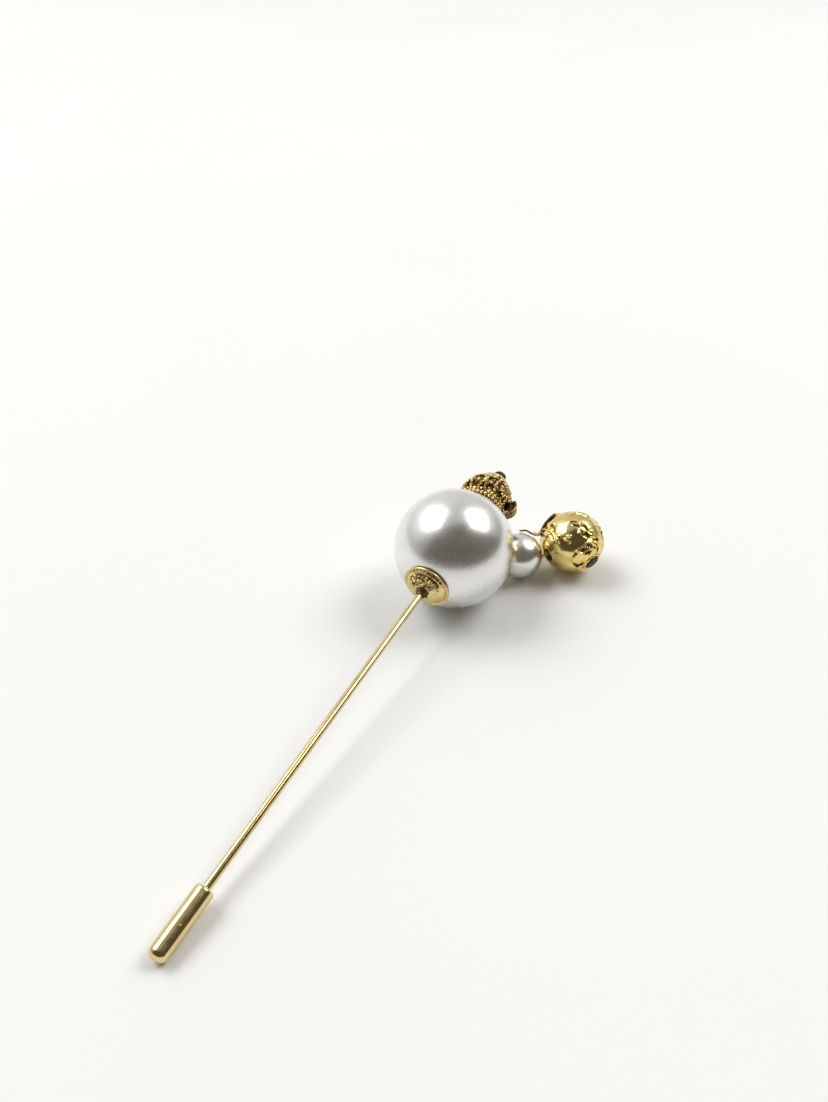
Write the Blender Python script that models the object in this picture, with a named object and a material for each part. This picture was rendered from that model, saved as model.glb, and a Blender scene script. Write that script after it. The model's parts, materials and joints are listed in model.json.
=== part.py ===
"""Pearl-headed hat pin with a side sprig and a bullet clutch.

The pin lies on its side, as it rests on a table: the large pearl, the gold
bead at the end of the sprig and the closed end of the clutch touch the table
at z = 0. The stem runs along X, with the head at +X. Blender units are metres;
the dimensions below are in millimetres and are scaled by MM.
"""

from math import acos, asin, atan2, cos, degrees, pi, radians, sin, sqrt

import bmesh
import bpy
from mathutils import Matrix, Vector

MM = 0.001

# --- driving dimensions, in millimetres ---
PEARL_R = 10.0                # large pearl
PEARL_BORE_R = 0.72
SMALL_PEARL_R = 4.00
SMALL_PEARL_BORE_R = 0.46
BEAD_R = 5.50                 # gold nugget bead
BEAD_BORE_R = 0.50
BEAD_HOLLOW_R = 4.15
STEM_R = 0.585
STEM_TOP = 16.2               # stem's upper end, from the large pearl's centre
STEM_TIP = 74.2               # stem's point, from the large pearl's centre
STEM_POINT_LENGTH = 3.0
STEM_POINT_R = 0.12
CLUTCH_R = 1.37
CLUTCH_MOUTH = 66.8           # mouth of the clutch, from the large pearl's centre
CLUTCH_LENGTH = 9.9
CLUTCH_WALL = 0.28
CLUTCH_FLOOR = 0.50           # thickness of the closed end
CLUTCH_LIP_R = 0.90           # opening of the rolled mouth
CLUTCH_SHOULDER = 0.45        # rounding between the mouth and the side
CLUTCH_BUSH_PROUD = 0.06
CLUTCH_END_DOME = 0.85        # length of the rounded closed end
CUP_R = 4.00                  # domed cup under the large pearl
CUP_CROWN_R = 5.90
CUP_TOP = 11.25               # crown of the cup, from the large pearl's centre
CUP_SHEET = 0.35
CUP_RIM_STAND = 0.60          # how far the rim's upper edge stands above the pearl
FINIAL_CENTRE = 12.75         # centre of the finial's round part, from the pearl's centre
FINIAL_R = 4.22
FINIAL_SHEET = 0.45
FINIAL_CONE = 34.0            # half angle of the tapering top, in degrees
FINIAL_LEAN = Vector((-0.0040, 0.0415, 0.0217))   # the finial leans a little off the stem's axis
PETALS = 6
PETAL_LIFT = 0.08
PETAL_SHEET = 0.27
APEX_STONE_R = 1.02
DISH_R = 4.2                  # dish between the large and the small pearl
DISH_SHEET = 0.22
DISH_CROWN_R = 14.0           # flatter than the pearl, so its edge stands off
WIRE_R = 0.40                 # sprig wire
WIRE_BEND_LEG = 0.35
GAP = 0.05                    # clearance between neighbours
SPRIG_AZIMUTH = radians(-35.9)
BEAD_AZIMUTH = radians(-49.2)
SETTING_R = 1.78
SETTING_STONE_R = 1.28
SIDE_STONE_R = 0.58

# --- smoothness of the turned pieces ---
FINE = 40
MEDIUM = 28
COARSE = 16

# --- material colours ---
GOLD = (0.83, 0.62, 0.25)
ANTIQUE_GOLD = (0.55, 0.38, 0.13)
PEARL_WHITE = (0.87, 0.86, 0.83)
DARK_STONE = (0.03, 0.03, 0.025)
FLUX_BROWN = (0.20, 0.10, 0.03)
NYLON = (0.80, 0.79, 0.74)


# --- layout worked out from the dimensions ---
clutch_end = CLUTCH_MOUTH + CLUTCH_LENGTH
contact_reach = clutch_end - CLUTCH_END_DOME * 0.8
slope = asin((PEARL_R - CLUTCH_R) / contact_reach)

PEARL_CENTRE = Vector((0.0, 0.0, PEARL_R))
AXIS = Vector((cos(slope), 0.0, sin(slope)))

small_reach = PEARL_R + GAP + DISH_SHEET + GAP + SMALL_PEARL_R
small_height = SMALL_PEARL_R + 0.02
small_across = sqrt(small_reach ** 2 - (PEARL_R - small_height) ** 2)
SMALL_CENTRE = Vector((
    small_across * cos(SPRIG_AZIMUTH),
    small_across * sin(SPRIG_AZIMUTH),
    small_height,
))
PEG_AXIS = (SMALL_CENTRE - PEARL_CENTRE).normalized()

bead_reach = SMALL_PEARL_R + 2 * GAP + BEAD_R
bead_across = sqrt(bead_reach ** 2 - (BEAD_R - small_height) ** 2)
BEAD_CENTRE = Vector((
    SMALL_CENTRE.x + bead_across * cos(BEAD_AZIMUTH),
    SMALL_CENTRE.y + bead_across * sin(BEAD_AZIMUTH),
    BEAD_R,
))
KINK = SMALL_CENTRE + PEG_AXIS * (SMALL_PEARL_R + 0.70)
BEAD_AXIS = (BEAD_CENTRE - KINK).normalized()

# outward directions of the two stones set in the bead
SETTING_AXIS = Vector((-0.384, -0.894, -0.231)).normalized()
SIDE_STONE_AXIS = Vector((0.159, -0.980, -0.121)).normalized()
FINIAL_AXIS = (AXIS + FINIAL_LEAN).normalized()


# --- helpers ---
def clear_scene():
    for item in list(bpy.data.objects):
        bpy.data.objects.remove(item, do_unlink=True)


def principled(name, colour, metallic, roughness):
    material = bpy.data.materials.new(name)
    material.use_nodes = True
    shader = material.node_tree.nodes["Principled BSDF"]
    shader.inputs["Base Color"].default_value = (*colour, 1.0)
    shader.inputs["Metallic"].default_value = metallic
    shader.inputs["Roughness"].default_value = roughness
    return material


def frame_empty(name, centre, direction):
    """An empty at centre whose local +Z points along direction."""
    empty = bpy.data.objects.new(name, None)
    bpy.context.collection.objects.link(empty)
    turn = direction.to_track_quat("Z", "Y").to_matrix().to_4x4()
    empty.matrix_world = Matrix.Translation(centre * MM) @ turn
    return empty


def add_object(name, bm, material, parent=None):
    """Make a smooth-shaded object from a bmesh whose lengths are millimetres."""
    bmesh.ops.scale(bm, vec=(MM, MM, MM), verts=bm.verts)
    bmesh.ops.remove_doubles(bm, verts=bm.verts, dist=1e-7)
    bmesh.ops.recalc_face_normals(bm, faces=bm.faces)
    mesh = bpy.data.meshes.new(name)
    bm.to_mesh(mesh)
    bm.free()
    mesh.shade_smooth()
    mesh.set_sharp_from_angle(angle=radians(35))
    mesh.materials.append(material)
    item = bpy.data.objects.new(name, mesh)
    bpy.context.collection.objects.link(item)
    if parent is not None:
        item.parent = parent
    return item


def arc(centre_z, radius, start, end, steps, scale_z=1.0):
    """Points (r, z) on an arc; angles are measured from +Z towards +r, in degrees."""
    points = []
    for i in range(steps + 1):
        angle = radians(start + (end - start) * i / steps)
        points.append((radius * sin(angle), centre_z + scale_z * radius * cos(angle)))
    return points


def turned(name, profile, material, parent, steps, closed=True, sweep=2 * pi):
    """Spin a profile of (r, z) points about local Z.

    A closed profile makes a ring; an open one starts and ends on the axis.
    """
    bm = bmesh.new()
    verts = [bm.verts.new((r, 0.0, z)) for r, z in profile]
    edges = [bm.edges.new(pair) for pair in zip(verts, verts[1:])]
    if closed:
        edges.append(bm.edges.new((verts[-1], verts[0])))
    full_turn = sweep >= 2 * pi
    if not full_turn:
        bm.faces.new(verts)
    bmesh.ops.spin(
        bm,
        geom=verts + edges + list(bm.faces),
        cent=(0, 0, 0),
        axis=(0, 0, 1),
        angle=sweep,
        steps=steps,
        use_merge=full_turn,
    )
    return add_object(name, bm, material, parent)


def sphere_with_bore(radius, bore, steps):
    """Profile of a ball drilled through along its axis."""
    lip = degrees(asin(bore / radius))
    return arc(0.0, radius, lip, 180 - lip, steps)


def cutter(name, radius, low, high, parent):
    """A hidden drill for a Boolean, along the parent's Z."""
    bm = bmesh.new()
    bmesh.ops.create_cone(
        bm, cap_ends=True, segments=COARSE, radius1=radius, radius2=radius, depth=high - low
    )
    bmesh.ops.translate(bm, vec=(0, 0, (low + high) / 2), verts=bm.verts)
    item = add_object(name, bm, brass, parent)
    item.hide_render = True
    item.display_type = "WIRE"
    return item


def drill(item, tool):
    modifier = item.modifiers.new("drill", "BOOLEAN")
    modifier.operation = "DIFFERENCE"
    modifier.solver = "EXACT"
    modifier.object = tool


def plate_on_grid(name, rows, columns, point_at, material, parent):
    """A closed thin plate from two grids of points: point_at(u, v, side), side 0 or 1."""
    bm = bmesh.new()
    grids = []
    for side in (0, 1):
        grid = []
        for i in range(rows + 1):
            row = []
            for j in range(columns + 1):
                row.append(bm.verts.new(point_at(i / rows, j / columns, side)))
            grid.append(row)
        grids.append(grid)
    low, high = grids
    for i in range(rows):
        for j in range(columns):
            for grid in grids:
                bm.faces.new((grid[i][j], grid[i][j + 1], grid[i + 1][j + 1], grid[i + 1][j]))
    for i in range(rows):
        for j in (0, columns):
            bm.faces.new((low[i][j], low[i + 1][j], high[i + 1][j], high[i][j]))
    for j in range(columns):
        for i in (0, rows):
            bm.faces.new((low[i][j], low[i][j + 1], high[i][j + 1], high[i][j]))
    return add_object(name, bm, material, parent)


# --- pieces on the stem's axis ---
def make_stem(axis):
    profile = [
        (0.0, STEM_TOP),
        (STEM_R - 0.1, STEM_TOP),
        (STEM_R, STEM_TOP - 0.1),
        (STEM_R, -(STEM_TIP - STEM_POINT_LENGTH)),
        (STEM_POINT_R, -STEM_TIP),
        (0.0, -STEM_TIP),
    ]
    turned("pin_stem", profile, gold, axis, COARSE, closed=False)


def make_large_pearl(axis, peg):
    pearl = turned("large_pearl", sphere_with_bore(PEARL_R, PEARL_BORE_R, 20), pearl_coat, axis, FINE)
    drill(pearl, cutter("peg_drill", WIRE_R + GAP, 5.6, PEARL_R + 1.0, peg))


def make_base_cup(axis):
    """Thin domed cup: its rim sits on the pearl and its crown faces the point."""
    hole_r = STEM_R + GAP
    centre = -(CUP_TOP - CUP_CROWN_R)
    inner_r = CUP_CROWN_R - CUP_SHEET
    rim_angle = degrees(asin((CUP_R - 0.15) / CUP_CROWN_R))
    outer = arc(centre, CUP_CROWN_R, 180 - degrees(asin(hole_r / CUP_CROWN_R)), 180 - rim_angle, 6)
    seat = sqrt(PEARL_R ** 2 - CUP_R ** 2)
    rim = [
        (CUP_R, -(seat + CUP_RIM_STAND)),
        (CUP_R, -(seat + CUP_RIM_STAND - 0.22)),
        (CUP_R - 0.25, -(seat + CUP_RIM_STAND - 0.30)),
    ]
    inner_edge = degrees(asin((CUP_R - 0.4) / inner_r))
    inner = arc(centre, inner_r, 180 - inner_edge, 180 - degrees(asin(hole_r / inner_r)), 4)
    turned("base_cup", outer + rim + inner, gold, axis, MEDIUM)


def make_solder_collar(axis):
    hole_r = STEM_R + GAP
    foot = CUP_TOP + 0.07
    profile = [
        (hole_r, -foot),
        (1.35, -foot),
        (1.05, -(foot + 0.16)),
        (0.82, -(foot + 0.45)),
        (0.70, -(foot + 0.95)),
        (hole_r, -(foot + 0.95)),
    ]
    turned("solder_collar", profile, flux, axis, COARSE)


def make_finial_foot(axis):
    """Flat ring that seats the finial on the large pearl."""
    inner, outer = 3.2, 3.9
    top = sqrt(PEARL_R ** 2 - inner ** 2) + 0.13
    profile = [
        (inner, top - 0.06),
        (inner, top),
        (outer - 0.15, top),
        (outer, top - 0.12),
        (outer, sqrt(PEARL_R ** 2 - outer ** 2) + 0.08),
    ]
    turned("finial_foot_ring", profile, antique, axis, MEDIUM)


def make_finial_rope(axis):
    """Rope ring between the foot and the ball."""
    rope_r, ring_r, height = 0.38, 3.50, 10.05
    sides = 8
    profile = []
    for i in range(sides):
        angle = 2 * pi * i / sides
        profile.append((ring_r + rope_r * cos(angle), height + rope_r * sin(angle)))
    turned("finial_rope", profile, antique, axis, MEDIUM)


FOOT_ANGLE = degrees(acos((10.40 - FINIAL_CENTRE) / FINIAL_R))
CROWN_R = 1.45                 # radius at which the tapering top is cut off
SCROLL_TURN = 42.0             # degrees from the sprig, towards the top


def finial_point(along, radius, cone_length):
    """Point (r, z) on the finial's teardrop at a distance along it from its crown."""
    cone = radians(FINIAL_CONE)
    shoulder = (radius * cos(cone), FINIAL_CENTRE + radius * sin(cone))
    if along < cone_length:
        up = cone_length - along
        return (shoulder[0] - up * sin(cone), shoulder[1] + up * cos(cone))
    angle = pi / 2 - cone + (along - cone_length) / radius
    return (radius * sin(angle), FINIAL_CENTRE + radius * cos(angle))


def cone_length_to(crown_r, radius):
    """Length of the tapering top from its shoulder to where its radius is crown_r."""
    cone = radians(FINIAL_CONE)
    return (radius * cos(cone) - crown_r) / sin(cone)


def teardrop(radius, crown_r, foot_angle, steps):
    length = cone_length_to(crown_r, radius)
    total = length + (radians(foot_angle) - pi / 2 + radians(FINIAL_CONE)) * radius
    return [finial_point(total * i / steps, radius, length) for i in range(steps + 1)]


def make_finial_dome(axis):
    """Teardrop shell, open at its foot and closed under the bezel."""
    inner_r = FINIAL_R - FINIAL_SHEET
    outer = teardrop(FINIAL_R, CROWN_R, FOOT_ANGLE, 14)
    inner = teardrop(inner_r, CROWN_R - 0.35, FOOT_ANGLE - 4, 8)
    inner.reverse()
    crown = [(0.0, inner[-1][1])]
    profile = [(0.0, outer[0][1])] + outer + inner + crown
    turned("finial_dome", profile, antique, axis, MEDIUM, closed=False)


def make_petal(index, axis):
    """Leaf-shaped filigree plate that follows the teardrop from bezel to foot."""
    lower = radians(110.0)
    half_width = pi / PETALS * 0.86
    middle = 2 * pi * index / PETALS

    def point_at(u, v, side):
        radius = FINIAL_R + PETAL_LIFT + PETAL_SHEET * side
        cone_length = cone_length_to(CROWN_R + 0.20, radius)
        total = cone_length + (lower - pi / 2 + radians(FINIAL_CONE)) * radius
        r, z = finial_point(total * u, radius, cone_length)
        swell = 0.30 + 0.70 * sin(pi * (0.08 + 0.84 * u)) ** 0.8
        azimuth = middle + (2 * v - 1) * half_width * swell
        return (r * cos(azimuth), r * sin(azimuth), z)

    plate_on_grid(f"finial_petal_{index + 1}", 12, 4, point_at, antique, axis)


def make_apex(axis):
    """Bright bezel and the flat dark stone on top of the finial."""
    top = finial_point(0.0, FINIAL_R, cone_length_to(CROWN_R, FINIAL_R))[1]
    base = top + 0.04
    bezel = [
        (0.75, base),
        (1.38, base),
        (1.42, base + 0.15),
        (1.30, base + 0.45),
        (1.12, base + 0.55),
        (0.75, base + 0.55),
    ]
    turned("apex_bezel", bezel, gold, axis, MEDIUM)
    seat = base + 0.60
    stone = [
        (0.0, seat),
        (APEX_STONE_R - 0.20, seat),
        (APEX_STONE_R, seat + 0.20),
        (APEX_STONE_R, seat + 0.50),
        (APEX_STONE_R - 0.22, seat + 0.72),
        (0.0, seat + 0.72),
    ]
    turned("apex_stone", stone, dark_stone, axis, COARSE, closed=False)


def azimuth_of(axis, direction):
    """Angle about the axis empty's Z at which a world direction lies."""
    local = axis.matrix_world.to_3x3().inverted() @ direction
    return atan2(local.y, local.x)


def make_side_scroll(axis):
    """Scroll at the finial's side, from its foot to its waist, just above the sprig."""
    beside = azimuth_of(axis, PEG_AXIS)
    toward_up = (azimuth_of(axis, Vector((0, 0, 1))) - beside + pi) % (2 * pi) - pi
    azimuth = beside + radians(SCROLL_TURN if toward_up > 0 else -SCROLL_TURN)
    thickness, half_width = 0.55, 0.75
    centre_r, centre_z, bow_r = 4.18, 12.35, 1.85

    def point_at(u, v, side):
        angle = radians(-75 + 130 * u)
        radius = bow_r - thickness * (1 - side)
        outward = centre_r + radius * cos(angle)
        height = centre_z + radius * 1.15 * sin(angle)
        sideways = (2 * v - 1) * half_width
        return (
            outward * cos(azimuth) - sideways * sin(azimuth),
            outward * sin(azimuth) + sideways * cos(azimuth),
            height,
        )

    plate_on_grid("finial_side_scroll", 10, 3, point_at, antique, axis)


# --- pieces of the clutch ---
def make_clutch_shell(axis):
    """Drawn tube with a rounded closed end and a rolled mouth."""
    mouth = -CLUTCH_MOUTH
    end = -clutch_end
    inner_r = CLUTCH_R - CLUTCH_WALL
    floor = end + CLUTCH_FLOOR
    profile = [
        (0.0, floor),
        (inner_r, floor + 0.30),
        (inner_r, mouth - 0.42),
        (CLUTCH_LIP_R, mouth - 0.36),
        (CLUTCH_LIP_R, mouth),
    ]
    for i in range(5):
        angle = radians(90 - 22.5 * i)
        profile.append((
            CLUTCH_R - CLUTCH_SHOULDER + CLUTCH_SHOULDER * cos(angle),
            mouth - CLUTCH_SHOULDER + CLUTCH_SHOULDER * sin(angle),
        ))
    last = radians(70)
    for i in range(6):
        angle = last * i / 5
        depth = CLUTCH_END_DOME * sin(angle) / sin(last)
        profile.append((CLUTCH_R * cos(angle), end + CLUTCH_END_DOME - depth))
    profile.append((0.0, end))
    turned("clutch_shell", profile, gold, axis, MEDIUM, closed=False)


def make_clutch_bush(axis):
    """Flanged bush held behind the rolled mouth; its face stands just proud of it."""
    mouth = -CLUTCH_MOUTH
    bore_r = STEM_R + 0.07
    neck_r = CLUTCH_LIP_R - 0.06
    flange_r = CLUTCH_R - CLUTCH_WALL - 0.06
    profile = [
        (bore_r, mouth + CLUTCH_BUSH_PROUD),
        (neck_r, mouth + CLUTCH_BUSH_PROUD),
        (neck_r, mouth - 0.50),
        (flange_r, mouth - 0.50),
        (flange_r, mouth - 0.90),
        (bore_r, mouth - 0.90),
    ]
    turned("clutch_mouth_bush", profile, gold, axis, MEDIUM)


def make_clutch_grip(axis):
    """Slit sleeve that grips the stem, with a funnel at its mouth."""
    start = -CLUTCH_MOUTH - 0.98
    end = -clutch_end + 1.50
    inner_r = STEM_R + 0.04
    outer_r = CLUTCH_R - CLUTCH_WALL - 0.12
    profile = [
        (inner_r, start - 0.32),
        (inner_r + 0.22, start),
        (outer_r, start),
        (outer_r, end),
        (inner_r, end),
    ]
    turned("clutch_grip_sleeve", profile, nylon, axis, COARSE, sweep=radians(330))


# --- pieces of the sprig ---
def make_side_dish(peg):
    """Thin dish that seats the small pearl against the large one."""
    centre = PEARL_R + GAP - DISH_CROWN_R
    hole = degrees(asin((WIRE_R + GAP) / DISH_CROWN_R))
    rim = degrees(asin(DISH_R / DISH_CROWN_R))
    under = arc(centre, DISH_CROWN_R, hole, rim, 5)
    over = arc(centre, DISH_CROWN_R + DISH_SHEET, rim, hole, 5)
    turned("side_dish", under + over, gold, peg, MEDIUM)


def make_small_pearl(small):
    profile = sphere_with_bore(SMALL_PEARL_R, SMALL_PEARL_BORE_R, 14)
    turned("small_pearl", profile, pearl_coat, small, MEDIUM)


def make_sprig_wire():
    """One wire: a peg in the large pearl, through the small pearl, bent into the bead."""
    bend_in = KINK - PEG_AXIS * WIRE_BEND_LEG
    bend_out = KINK + BEAD_AXIS * WIRE_BEND_LEG
    points = [PEARL_CENTRE + PEG_AXIS * 6.0, bend_in]
    for i in range(1, 6):
        t = i / 6
        points.append(bend_in.lerp(KINK, t).lerp(KINK.lerp(bend_out, t), t))
    points.append(bend_out)
    points.append(BEAD_CENTRE + BEAD_AXIS * 3.3)
    curve = bpy.data.curves.new("sprig_wire", "CURVE")
    curve.dimensions = "3D"
    curve.bevel_depth = WIRE_R * MM
    curve.bevel_resolution = 3
    curve.use_fill_caps = True
    spline = curve.splines.new("POLY")
    spline.points.add(len(points) - 1)
    for slot, point in zip(spline.points, points):
        slot.co = (*(point * MM), 1.0)
    curve.materials.append(gold)
    wire = bpy.data.objects.new("sprig_wire", curve)
    bpy.context.collection.objects.link(wire)
    return wire


def make_bead(bead, setting, side):
    """Hollow gold ball, open through its bore, with two pockets for its stones."""
    lip = degrees(asin(BEAD_BORE_R / BEAD_R))
    inner_lip = degrees(asin(BEAD_BORE_R / BEAD_HOLLOW_R))
    outer = arc(0.0, BEAD_R, 0.0, 180 - lip, 18)
    inner = arc(0.0, BEAD_HOLLOW_R, 180 - inner_lip, 0.0, 8)
    ball = turned("nugget_bead", outer + inner, gold, bead, FINE, closed=False)
    drill(ball, cutter("setting_drill", SETTING_R + GAP, 4.56, BEAD_R + 1.0, setting))
    drill(ball, cutter("side_drill", SIDE_STONE_R + GAP, 4.80, BEAD_R + 1.0, side))


def make_bead_stones(setting, side):
    rim_height = 5.38
    cup = [
        (0.0, 4.62),
        (SETTING_R, 4.62),
        (SETTING_R, rim_height - 0.30),
        (SETTING_R - 0.18, rim_height),
        (SETTING_STONE_R + GAP, rim_height),
        (SETTING_STONE_R + GAP, 4.82),
        (0.0, 4.82),
    ]
    turned("stone_setting", cup, gold, setting, MEDIUM, closed=False)
    stone = [
        (0.0, 4.87),
        (SETTING_STONE_R, 4.87),
        (SETTING_STONE_R, 5.18),
        (SETTING_STONE_R - 0.25, 5.36),
        (0.0, 5.36),
    ]
    turned("setting_stone", stone, dark_stone, setting, COARSE, closed=False)
    small_stone = [
        (0.0, 4.87),
        (SIDE_STONE_R, 4.87),
        (SIDE_STONE_R, 5.30),
        (SIDE_STONE_R - 0.18, 5.45),
        (0.0, 5.45),
    ]
    turned("side_stone", small_stone, dark_stone, side, COARSE, closed=False)


def make_leaf():
    """Gold leaf that lies on the bead and curls out over the small pearl."""
    over_small = [
        (Vector((2.22, 1.30, 3.52)), 0.28),
        (Vector((2.45, 0.86, 3.50)), 0.40),
        (Vector((2.68, 0.40, 3.59)), 0.42),
        (Vector((2.81, -0.20, 3.50)), 0.42),
        (Vector((2.85, -0.90, 3.22)), 0.42),
    ]
    between = (Vector((3.74, -1.42, 2.79)), 0.50)
    over_bead = [
        (Vector((-1.30, 5.80, 0.90)), 0.70),
        (Vector((-0.50, 5.70, 1.85)), 1.05),
        (Vector((0.25, 5.33, 2.56)), 1.20),
        (Vector((0.95, 4.70, 3.20)), 0.95),
        (Vector((1.60, 3.95, 3.80)), 0.30),
    ]
    reach = BEAD_R + 0.32
    stations = []
    for offset, width in over_small + [between]:
        stations.append((SMALL_CENTRE + offset, offset.normalized(), width))
    for offset, width in over_bead:
        outward = offset.normalized()
        stations.append((BEAD_CENTRE + outward * reach, outward, width))
    count = len(stations) - 1
    half_sheet = 0.15

    def blend(values, t):
        """Catmull-Rom value at t in 0..1 along evenly spaced stations."""
        span = min(int(t * count), count - 1)
        f = t * count - span
        p1, p2 = values[span], values[span + 1]
        p0 = values[span - 1] if span > 0 else p1 * 2 - p2
        p3 = values[span + 2] if span + 2 <= count else p2 * 2 - p1
        return (p1 * 2 + (p2 - p0) * f + (p0 * 2 - p1 * 5 + p2 * 4 - p3) * f * f
                + (p1 * 3 - p0 - p2 * 3 + p3) * f ** 3) * 0.5

    places = [s[0] for s in stations]
    normals = [s[1] for s in stations]
    widths = [s[2] for s in stations]

    def point_at(u, v, side):
        place = blend(places, u)
        ahead = blend(places, min(u + 0.02, 1.0)) - blend(places, max(u - 0.02, 0.0))
        normal = blend(normals, u).normalized()
        across = ahead.cross(normal).normalized()
        normal = across.cross(ahead).normalized()
        shift = across * (2 * v - 1) * blend(widths, u)
        sag = normal * (-(shift.length ** 2) / (2 * BEAD_R))
        return place + shift + sag + normal * half_sheet * (2 * side - 1)

    plate_on_grid("nugget_leaf", 27, 4, point_at, gold, None)


def stand_on_origin():
    """Move everything so that the origin is the middle of the footprint, at table height."""
    bpy.context.view_layer.update()
    depsgraph = bpy.context.evaluated_depsgraph_get()
    low = Vector((1e9, 1e9, 1e9))
    high = -low
    for item in bpy.context.collection.objects:
        if item.type == "EMPTY" or item.hide_render:
            continue
        shape = item.evaluated_get(depsgraph)
        mesh = shape.to_mesh()
        for vertex in mesh.vertices:
            place = shape.matrix_world @ vertex.co
            for k in range(3):
                low[k] = min(low[k], place[k])
                high[k] = max(high[k], place[k])
        shape.to_mesh_clear()
    shift = Vector((-(low.x + high.x) / 2, -(low.y + high.y) / 2, -low.z))
    for item in bpy.context.collection.objects:
        if item.parent is None:
            item.matrix_world = Matrix.Translation(shift) @ item.matrix_world
    bpy.context.view_layer.update()


clear_scene()
gold = principled("polished_gold", GOLD, 1.0, 0.18)
antique = principled("antique_gold", ANTIQUE_GOLD, 1.0, 0.35)
brass = principled("drill_tool", GOLD, 0.0, 0.5)
pearl_coat = principled("pearl_coat", PEARL_WHITE, 0.0, 0.22)
dark_stone = principled("dark_stone", DARK_STONE, 0.0, 0.12)
flux = principled("flux_brown", FLUX_BROWN, 0.3, 0.6)
nylon = principled("nylon", NYLON, 0.0, 0.5)

pin_axis = frame_empty("pin_axis", PEARL_CENTRE, AXIS)
finial_axis = frame_empty("finial_axis", PEARL_CENTRE, FINIAL_AXIS)
peg_axis = frame_empty("peg_axis", PEARL_CENTRE, PEG_AXIS)
small_axis = frame_empty("small_pearl_axis", SMALL_CENTRE, PEG_AXIS)
bead_axis = frame_empty("bead_axis", BEAD_CENTRE, BEAD_AXIS)
setting_axis = frame_empty("setting_axis", BEAD_CENTRE, SETTING_AXIS)
side_stone_axis = frame_empty("side_stone_axis", BEAD_CENTRE, SIDE_STONE_AXIS)
bpy.context.view_layer.update()

make_stem(pin_axis)
make_large_pearl(pin_axis, peg_axis)
make_base_cup(pin_axis)
make_solder_collar(pin_axis)
make_finial_foot(finial_axis)
make_finial_rope(finial_axis)
make_finial_dome(finial_axis)
for petal in range(PETALS):
    make_petal(petal, finial_axis)
make_apex(finial_axis)
make_side_scroll(finial_axis)
make_clutch_shell(pin_axis)
make_clutch_bush(pin_axis)
make_clutch_grip(pin_axis)
make_side_dish(peg_axis)
make_small_pearl(small_axis)
make_sprig_wire()
make_bead(bead_axis, setting_axis, side_stone_axis)
make_bead_stones(setting_axis, side_stone_axis)
make_leaf()
stand_on_origin()
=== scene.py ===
"""Looks for the pearl-headed hat pin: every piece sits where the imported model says."""

import json
from math import asin, cos, pi, radians, sin, sqrt

import bmesh
import bpy
import numpy as np
from mathutils import Matrix, Vector, noise


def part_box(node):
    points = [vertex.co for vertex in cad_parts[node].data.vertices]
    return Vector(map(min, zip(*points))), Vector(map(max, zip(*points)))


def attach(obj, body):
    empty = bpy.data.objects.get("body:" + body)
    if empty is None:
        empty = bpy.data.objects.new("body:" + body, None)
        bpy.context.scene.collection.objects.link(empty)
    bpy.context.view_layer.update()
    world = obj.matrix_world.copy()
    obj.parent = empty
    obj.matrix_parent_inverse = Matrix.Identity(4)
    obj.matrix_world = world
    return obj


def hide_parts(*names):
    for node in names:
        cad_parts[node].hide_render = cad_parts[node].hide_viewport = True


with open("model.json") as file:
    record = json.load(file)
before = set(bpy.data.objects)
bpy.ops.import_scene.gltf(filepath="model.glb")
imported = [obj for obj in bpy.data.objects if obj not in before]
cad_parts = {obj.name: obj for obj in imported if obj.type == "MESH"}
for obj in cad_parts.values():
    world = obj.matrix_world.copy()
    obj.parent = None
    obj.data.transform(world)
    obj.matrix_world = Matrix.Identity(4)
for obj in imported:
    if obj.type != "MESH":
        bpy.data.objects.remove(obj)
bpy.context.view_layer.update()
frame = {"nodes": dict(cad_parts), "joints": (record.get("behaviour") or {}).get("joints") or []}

MM = 0.001
CAMERA_PLACE = Vector((-0.08216, -0.04839, 0.10760))
TURN = 2 * pi

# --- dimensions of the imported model, in millimetres ---
PEARL_R = 10.0
PEARL_BORE_R = 0.72
SMALL_PEARL_BORE_R = 0.46
STEM_R = 0.585
STEM_TOP = 16.2
STEM_TIP = 74.2
STEM_POINT_LENGTH = 3.0
STEM_POINT_R = 0.12
CLUTCH_R = 1.37
CLUTCH_MOUTH = 66.8
CLUTCH_END = 76.7
CLUTCH_BORE_R = 1.09
CLUTCH_LIP_R = 0.90
CUP_R = 4.00
CUP_CROWN = 11.25
CUP_RIM = 9.765
FINIAL_CENTRE = 12.75
FINIAL_R = 4.22
FINIAL_CONE = radians(34.0)
FINIAL_LEAN = Vector((-0.0040, 0.0415, 0.0217))
CROWN_R = 1.45
DISH_R = 4.2
DISH_CROWN_R = 14.0
DISH_SHEET = 0.22
WIRE_R = 0.40
GAP = 0.05
SETTING_R = 1.78
SETTING_STONE_R = 1.28
SETTING_AXIS = Vector((-0.384, -0.894, -0.231)).normalized()


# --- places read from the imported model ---
def middle(node):
    low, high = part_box(node)
    return (low + high) / 2


joints = {joint["name"]: joint for joint in frame["joints"]}
AXIS = -Vector(joints["clutch_slide"]["axis"]).normalized()
PEG_AXIS = Vector(joints["small_pearl_turn"]["axis"]).normalized()
PEARL_CENTRE = middle("large_pearl")
SMALL_CENTRE = middle("small_pearl")
BEAD_CENTRE = middle("nugget_bead")
small_low, small_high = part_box("small_pearl")
SMALL_R = (small_high - small_low).y / 2 / MM
bead_low, bead_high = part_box("nugget_bead")
BEAD_R = (bead_high - bead_low).z / 2 / MM


def place(centre, direction):
    """Matrix from a local frame in millimetres, with +Z along direction, to the world."""
    turn = direction.to_track_quat("Z", "Y").to_matrix().to_4x4()
    return Matrix.Translation(centre) @ turn @ Matrix.Scale(MM, 4)


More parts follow.
